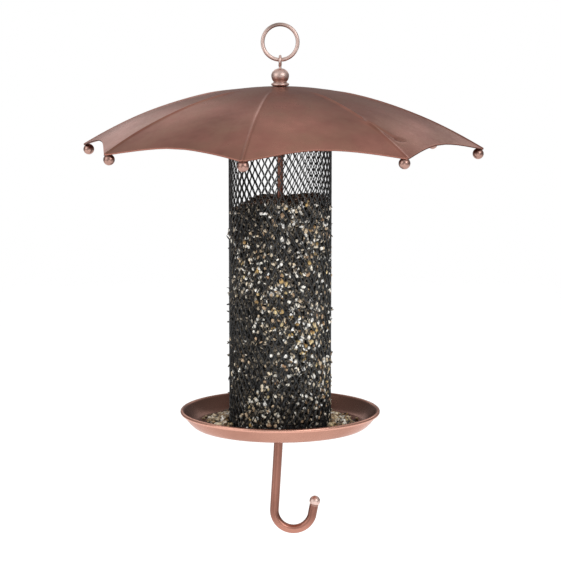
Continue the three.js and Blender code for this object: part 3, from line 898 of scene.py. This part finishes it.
def tray_painted_highlight(x, y, z):
    """Painted highlight along the bead."""
    on_bead = np.clip(np.hypot(x, y) - (TRAY_RADIUS - 1.7 * BEAD), 0, 1)
    return BEAD_PAINTED_HIGHLIGHT * on_bead * (z > tray_high - 2.2 * BEAD)


tray = mesh_piece("tray_dish", *turned(tray_outline(), 160), crease=45)
# Painted shade: the inside of the dish is darkened, as under the roof.
mark_points(tray, "painted_shade", tray_painted_shade)
# Painted highlight: the bead is lightened, as where it catches the light.
mark_points(tray, "painted_highlight", tray_painted_highlight)
fit_piece(tray, bright, "bright_copper", "core", "tray")

# ----------------------------------------------------------------------
# Handle: a copper-finished bar bent to a J like an umbrella's handle, screwed up on the rod's
# end under the tray, with a ball closed over its tip.
# ----------------------------------------------------------------------

HANDLE_RADIUS = 3.95
HANDLE_BEND = 17.1
HANDLE_LEAN = np.radians(3.4)
HANDLE_FLARE = np.radians(11)
BEND_X, BEND_Z = 11.95, -428.4
TIP_LENGTH = 10.5
HANDLE_BALL = 4.8
HANDLE_SEAT = 3.2
WAIST_RADIUS = 3.6
KNOB_FOOT = [[0, -3.9], [3.9, -3.9], [4.05, -3.6]]
HIGHLIGHT_START, HIGHLIGHT_FADE = 4, 12


def handle_path():
    """Straight leg leaning from the tray, an arc of the bend's radius, and a straight tip."""
    a = np.pi - HANDLE_LEAN + np.linspace(0, np.pi - HANDLE_LEAN - HANDLE_FLARE, 60)
    bend = np.stack([BEND_X + HANDLE_BEND * np.cos(a), 0 * a, BEND_Z + HANDLE_BEND * np.sin(a)], -1)
    top = heights_of("handle_hook")[1]
    leg = (top - bend[0, 2]) / np.cos(HANDLE_LEAN)
    up = np.array([np.sin(HANDLE_LEAN), 0, np.cos(HANDLE_LEAN)])
    out = np.array([np.sin(HANDLE_FLARE), 0, np.cos(HANDLE_FLARE)])
    start = bend[0] + up * np.linspace(leg, 0, 30)[:-1, None]
    tip = bend[-1] + out * np.linspace(0, TIP_LENGTH, 8)[1:, None]
    return np.concatenate([start, bend, tip]), bend[-1] + out * (TIP_LENGTH + HANDLE_SEAT + 0.3)


def handle_ball(centre):
    """Ball with a narrow waist where it is closed over the bar, leaning with the tip."""
    waist = np.degrees(np.arccos(WAIST_RADIUS / HANDLE_BALL))
    outline = np.concatenate([KNOB_FOOT, arc(0, 0, HANDLE_BALL, -waist, 90, 30)])
    points, faces = turned(outline, 48)
    x = points[:, 0] * np.cos(HANDLE_FLARE) + points[:, 2] * np.sin(HANDLE_FLARE)
    z = -points[:, 0] * np.sin(HANDLE_FLARE) + points[:, 2] * np.cos(HANDLE_FLARE)
    return np.stack([x, points[:, 1], z], -1) + centre, faces


def handle_painted_highlight(x, y, z):
    """Painted highlight round the foot of the bend, where it faces the pale floor."""
    return (BEND_Z - HIGHLIGHT_START - z) / HIGHLIGHT_FADE


handle_line, ball_centre = handle_path()
handle = mesh_piece("handle_bar", *drawn_wire(handle_line, HANDLE_RADIUS, (0, 1, 0), 32))
# Painted highlight: the bottom of the bend is lightened, as lit from the floor below.
mark_points(handle, "painted_highlight", handle_painted_highlight)
fit_piece(handle, umber, "bright_copper", "core", "handle_hook")
knob = mesh_piece("handle_knob", *handle_ball(ball_centre))
fit_piece(knob, satin, "bright_copper", "core", "handle_ball")

# ----------------------------------------------------------------------
# Seed: black seed with pale and golden chips, loose behind the mesh, some grains poking
# through. The top of the fill has slumped to one side.
# ----------------------------------------------------------------------

FILL_RADIUS = 42.6
FILL_LEVEL = -149.0
SLUMP = 11.5
ROD_GAP = 4.5
HEART_BORE = 3.0
HEART_DEPTH = 2.4
HEART_DROP = 2.2
RICH_AZIMUTH = -0.75
SPARSE_START, SPARSE_FADE = -205, 40
rng = np.random.default_rng(20)
fill_low = heights_of("tube_base_cap")[0] + 1.5


def seed_top(x, y):
    """Level of the fill: flat on the right and in the middle, falling away to the left."""
    slump = np.clip((-x - 4) / 40, 0, 1)
    return FILL_LEVEL - SLUMP * slump ** 1.4 + 1.6 * np.sin(x / 9 + 1) * np.cos(y / 11)


def grain_finish(name, stops, rough, spot):
    """Dry seed coat: colour from each grain's own tone attribute through a ramp, broken by
    fine noise, with uneven roughness."""
    material, tree, shader, place = new_finish(name)
    tone = ramp(tree, point_value(tree, "tone"), stops)
    fleck = noise(tree, place, spot, Detail=3)
    scale = add_node(tree, "ShaderNodeVectorMath", operation="SCALE")
    tree.links.new(tone, scale.inputs[0])
    tree.links.new(span(tree, fleck, 0.3, 0.7, 0.4, 1.4), scale.inputs["Scale"])
    tree.links.new(scale.outputs["Vector"], shader.inputs["Base Color"])
    grade = span(tree, fleck, 0, 1, rough - 0.12, rough + 0.12)
    tree.links.new(grade, shader.inputs["Roughness"])
    return material


black_coat = grain_finish(
    "black_seed_coat",
    [
        (0.0, (0.006, 0.006, 0.006)),
        (0.3, (0.025, 0.021, 0.016)),
        (0.6, (0.10, 0.082, 0.062)),
        (0.85, (0.29, 0.24, 0.18)),
        (1.0, (0.52, 0.45, 0.35)),
    ],
    0.34,
    350,
)
pale_coat = grain_finish(
    "pale_chip_coat",
    [
        (0.0, (0.40, 0.24, 0.13)),
        (0.28, (0.80, 0.66, 0.46)),
        (0.55, (0.97, 0.92, 0.80)),
        (1.0, (1.0, 0.99, 0.95)),
    ],
    0.55,
    700,
)
husk_coat = grain_finish(
    "cracked_husk_coat",
    [
        (0.0, (0.10, 0.055, 0.03)),
        (0.35, (0.42, 0.27, 0.14)),
        (0.7, (0.85, 0.70, 0.48)),
        (1.0, (1.0, 0.95, 0.86)),
    ],
    0.55,
    400,
)
gold_coat = grain_finish(
    "golden_grain_coat",
    [(0.0, (0.26, 0.14, 0.05)), (0.5, (0.52, 0.34, 0.12)), (1.0, (0.82, 0.66, 0.36))],
    0.45,
    600,
)


def spindle_shape():
    """Unit seed along X: three rings of five points, fullest behind the middle, and two ends."""
    t = np.linspace(0, 2 * np.pi, 5, endpoint=False)
    rings = [
        np.stack([x + 0 * t, 0.5 * r * np.cos(t + turn), 0.5 * r * np.sin(t + turn)], -1)
        for x, r, turn in ((-0.34, 0.68, 0), (-0.05, 1.0, 0.6), (0.28, 0.66, 0))
    ]
    points = np.concatenate([[[-0.5, 0, 0]], *rings, [[0.5, 0, 0]]])
    k = np.arange(5)
    on = (k + 1) % 5
    faces = [np.stack([0 * k, 1 + on, 1 + k], -1), np.stack([0 * k + 16, 11 + k, 11 + on], -1)]
    for ring in (1, 6):
        faces.append(np.stack([ring + k, ring + on, ring + 5 + k], -1))
        faces.append(np.stack([ring + on, ring + 5 + on, ring + 5 + k], -1))
    return points, np.concatenate(faces)


def chip_shape():
    """Unit chip: the twelve points and twenty faces of an icosahedron."""
    g = (1 + 5 ** 0.5) / 2
    points = np.array(
        [[-1, g, 0], [1, g, 0], [-1, -g, 0], [1, -g, 0], [0, -1, g], [0, 1, g],
         [0, -1, -g], [0, 1, -g], [g, 0, -1], [g, 0, 1], [-g, 0, -1], [-g, 0, 1]]
    )
    faces = np.array(
        [[0, 11, 5], [0, 5, 1], [0, 1, 7], [0, 7, 10], [0, 10, 11], [1, 5, 9], [5, 11, 4],
         [11, 10, 2], [10, 7, 6], [7, 1, 8], [3, 9, 4], [3, 4, 2], [3, 2, 6], [3, 6, 8],
         [3, 8, 9], [4, 9, 5], [2, 4, 11], [6, 2, 10], [8, 6, 7], [9, 8, 1]]
    )
    return points / (2 * np.linalg.norm(points[0])), faces


def grain_sizes(count, length, width, thick, spread=0.18):
    """Lengths, widths and thicknesses spread about their middles."""
    swell = (1 + rng.normal(0, spread, (count, 3))).clip(0.5, 1.6)
    return np.array([length, width, thick]) * swell


def scatter(name, shape, places, size, lift, rough, finish, slot, smooth):
    """One mesh of many grains. Each copy of the shape is scaled, given its own dents, laid
    with its long side turned at random about the outward direction and tipped by up to lift,
    and moved to its centre. Its tone is one random number."""
    points, faces = shape
    centres, outward = places
    count = len(centres)
    sizes = grain_sizes(count, *size)
    outward = outward / np.linalg.norm(outward, axis=1)[:, None]
    helper = np.where(np.abs(outward[:, 2:]) < 0.9, [[0.0, 0.0, 1.0]], [[1.0, 0.0, 0.0]])
    first = np.cross(helper, outward)
    first /= np.linalg.norm(first, axis=1)[:, None]
    second = np.cross(outward, first)
    turn = rng.uniform(0, 2 * np.pi, (count, 1))
    tip = rng.normal(0, 1, (count, 1)) * lift
    flat = first * np.cos(turn) + second * np.sin(turn)
    long = flat * np.cos(tip) + outward * np.sin(tip)
    side = -first * np.sin(turn) + second * np.cos(turn)
    up = np.cross(long, side)
    copies = points[None] * (1 + rng.uniform(-rough, rough, (count, len(points), 1)))
    copies = copies * sizes[:, None, :]
    placed = (
        copies[:, :, :1] * long[:, None]
        + copies[:, :, 1:2] * side[:, None]
        + copies[:, :, 2:] * up[:, None]
        + centres[:, None]
    )
    every = faces[None] + (np.arange(count) * len(points))[:, None, None]
    mesh = array_mesh(name, placed.reshape(-1, 3), every.reshape(-1, 3))
    keep_values(mesh, "tone", np.repeat(rng.uniform(0, 1, count), len(points)))
    piece = shaded_piece(name, mesh, smooth)
    fit_piece(piece, finish, slot, "core")
    return piece


def black_seeds(name, places, size, lift):
    """Whole black seeds, all of one smooth shape."""
    scatter(name, spindle_shape(), places, size, lift, 0.0, black_coat, "seed_mix", True)


def chips(name, places, size, lift, rough, finish):
    """Broken grain in flats, each with its own dents."""
    return scatter(name, chip_shape(), places, size, lift, rough, finish, "husk_mix", False)


def wall_places(count, depth_low, depth_high):
    """Random places just inside the mesh, up to the fill's level, and their outward normals."""
    angle = rng.uniform(0, 2 * np.pi, count)
    radius = FILL_RADIUS - rng.uniform(depth_low, depth_high, count)
    x, y = radius * np.cos(angle), radius * np.sin(angle)
    z = fill_low + (seed_top(x, y) - fill_low) * rng.uniform(0, 1, count)
    normals = np.stack([np.cos(angle), np.sin(angle), 0 * angle], -1)
    return np.stack([x, y, z], -1), normals


def top_places(count):
    """Random places over the fill's top, with normals straight up."""
    angle = rng.uniform(0, 2 * np.pi, count)
    radius = ROD_GAP + (FILL_RADIUS - ROD_GAP) * np.sqrt(rng.uniform(0, 1, count))
    x, y = radius * np.cos(angle), radius * np.sin(angle)
    z = seed_top(x, y) + rng.uniform(-1.2, 0.8, count)
    return np.stack([x, y, z], -1), np.tile([0.0, 0.0, 1.0], (count, 1))


def fill_core():
    """Dark heart of the fill: a column inside the visible grains, its top just below theirs."""
    t = np.linspace(0, 2 * np.pi, 96, endpoint=False)
    core = FILL_RADIUS - HEART_DEPTH
    rows = []
    for radius in (HEART_BORE, core):
        rows.append(np.stack([radius * np.cos(t), radius * np.sin(t), fill_low + 0 * t], -1))
    for radius in (core, 30, 20, 10, HEART_BORE):
        x, y = radius * np.cos(t), radius * np.sin(t)
        rows.append(np.stack([x, y, seed_top(x, y) - HEART_DROP], -1))
    return np.concatenate(rows), grid_faces(len(rows), 96, wrap_rows=True)


def drifted(count, places, power):
    """A random pick of the places that favours streaks and pockets: the chance is a power of a
    sum of waves over the tube's wall, higher at the front right and, near the top, lower on
    the side away from it."""
    centres, normals = places
    angle = np.arctan2(centres[:, 1], centres[:, 0])
    z = centres[:, 2]
    rich = np.cos(angle - RICH_AZIMUTH)
    field = 0.5 + 0.2 * np.sin(3 * angle + z / 17 + 2) + 0.2 * np.sin(5 * angle - z / 11 + 1)
    field += 0.4 * rich
    field += 0.15 * np.sin(z / 29 + 2 * angle)
    field -= 0.35 * np.clip((z - SPARSE_START) / SPARSE_FADE, 0, 1) * (1 - rich) / 2
    chance = np.clip(field, 0.02, None) ** power
    pick = rng.choice(len(z), count, replace=False, p=chance / chance.sum())
    return centres[pick], normals[pick]


heart = mesh_piece("seed_heart", *fill_core())
# Tone 0, the darkest seed colour, all over: painted shade for the gaps between the grains.
keep_values(heart.data, "tone", np.zeros(len(heart.data.vertices)))
fit_piece(heart, black_coat, "seed_mix", "core", "seed_fill")

for layer in range(3):
    places = wall_places(4900, -1.0, 2.4)
    black_seeds(f"black_seed_{layer + 1}", places, (4.6, 2.0, 1.6), 0.35)
places = drifted(1300, wall_places(6000, -1.7, 0.4), 1.7)
chips("pale_chips", places, (3.9, 3.1, 2.4, 0.26), 0.35, 0.2, pale_coat)
places = drifted(95, wall_places(5000, -1.6, 0.0), 5)
chips("golden_grains", places, (4.4, 3.7, 2.9, 0.2), 0.35, 0.15, gold_coat)
black_seeds("poking_seed", wall_places(330, -3.2, -1.6), (4.8, 1.8, 1.4), 0.9)
black_seeds("top_seed", top_places(1500), (4.6, 1.9, 1.5), 0.35)
chips("top_chips", top_places(200), (3.3, 2.5, 1.9, 0.24), 0.35, 0.22, pale_coat)

# ----------------------------------------------------------------------
# Spilled seed: cracked grain, husks and a few black seeds lying on the tray at both sides of
# the tube.
# ----------------------------------------------------------------------

PILE_START = 46.5
PILE_REACH = 19
GRAIN_REST = 0.9


def tray_places(count, middle, spread, lift):
    """Random places on the tray in a crescent about an angle, thinning to its edges, and
    piled up towards the tube."""
    angle = np.radians(middle) + np.radians(spread) * rng.normal(0, 0.5, count).clip(-1.1, 1.1)
    out = np.abs(rng.normal(0, 0.5, count)).clip(0, 1.3)
    radius = PILE_START + PILE_REACH * out
    pile = lift * np.clip(1 - out, 0, 1) * rng.uniform(0, 1, count)
    z = tray_low + TRAY_SHEET + GRAIN_REST + pile
    places = np.stack([radius * np.cos(angle), radius * np.sin(angle), z], -1)
    return places, np.tile([0.0, 0.0, 1.0], (count, 1))


for side, middle in (("left", 163), ("right", 17)):
    places = tray_places(125, middle, 42, 4.0)
    husks = chips(f"tray_husks_{side}", places, (5.4, 3.9, 2.6, 0.3), 0.35, 0.24, husk_coat)
    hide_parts(f"tray_seed_{side}")
    places = tray_places(90, middle, 42, 3.2)
    chips(f"tray_gold_{side}", places, (3.4, 2.8, 2.1, 0.2), 0.3, 0.16, gold_coat)
    places = tray_places(260, middle, 44, 3.2)
    black_seeds(f"tray_black_{side}", places, (4.4, 1.9, 1.5), 0.3)
